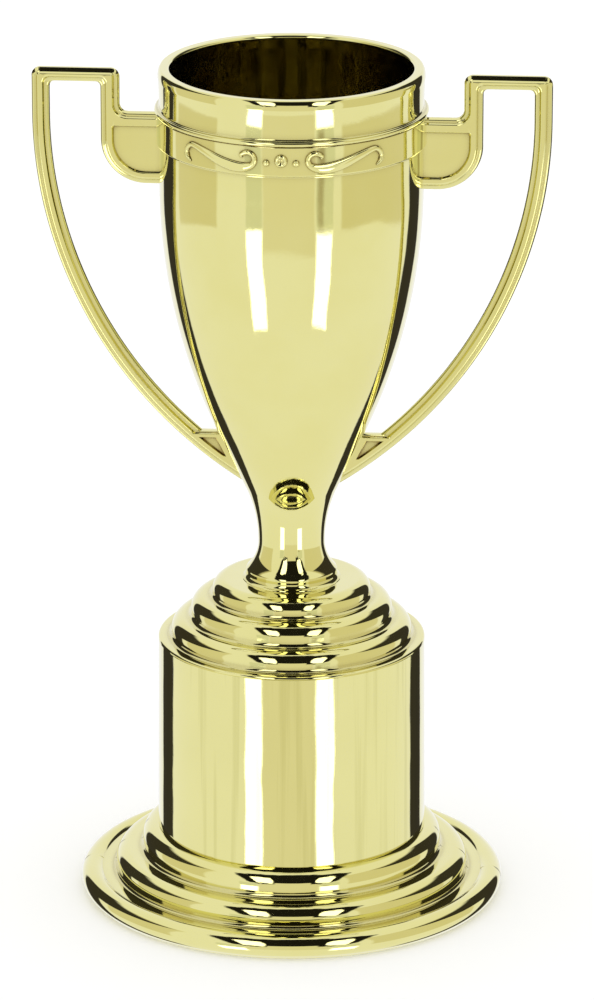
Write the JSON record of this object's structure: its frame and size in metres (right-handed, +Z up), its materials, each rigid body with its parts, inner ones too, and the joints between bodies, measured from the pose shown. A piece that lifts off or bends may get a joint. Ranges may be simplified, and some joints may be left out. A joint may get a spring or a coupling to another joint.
{
  "type": "cup trophy",
  "caption": "Gold two-handled cup trophy: deep tapered bowl with a relief band and two looped handles on a slim stem, over a stepped dome, a round drum and a beaded round foot.",
  "frame": {"origin": "centre of the foot on the plane that the trophy stands on", "axes": "+Z up along the axis of the cup and pedestal, +X towards the right handle seen from the front, -Y towards the front, where the relief on the band is centred"},
  "size_m": [0.1368, 0.1136, 0.229],
  "materials": {
    "gold_plastic": "vacuum-metallised mirror gold over moulded plastic",
    "zinc_steel": "bright zinc plated"
  },
  "bodies": {
    "root": {"cup": "gold_plastic", "handle_left": "gold_plastic", "handle_right": "gold_plastic", "dome_cap": "gold_plastic", "drum": "gold_plastic", "foot": "gold_plastic", "tie_rod": "zinc_steel", "bowl_nut": "zinc_steel", "bowl_washer": "zinc_steel", "foot_nut": "zinc_steel", "foot_washer": "zinc_steel"}
  },
  "joints": []
}
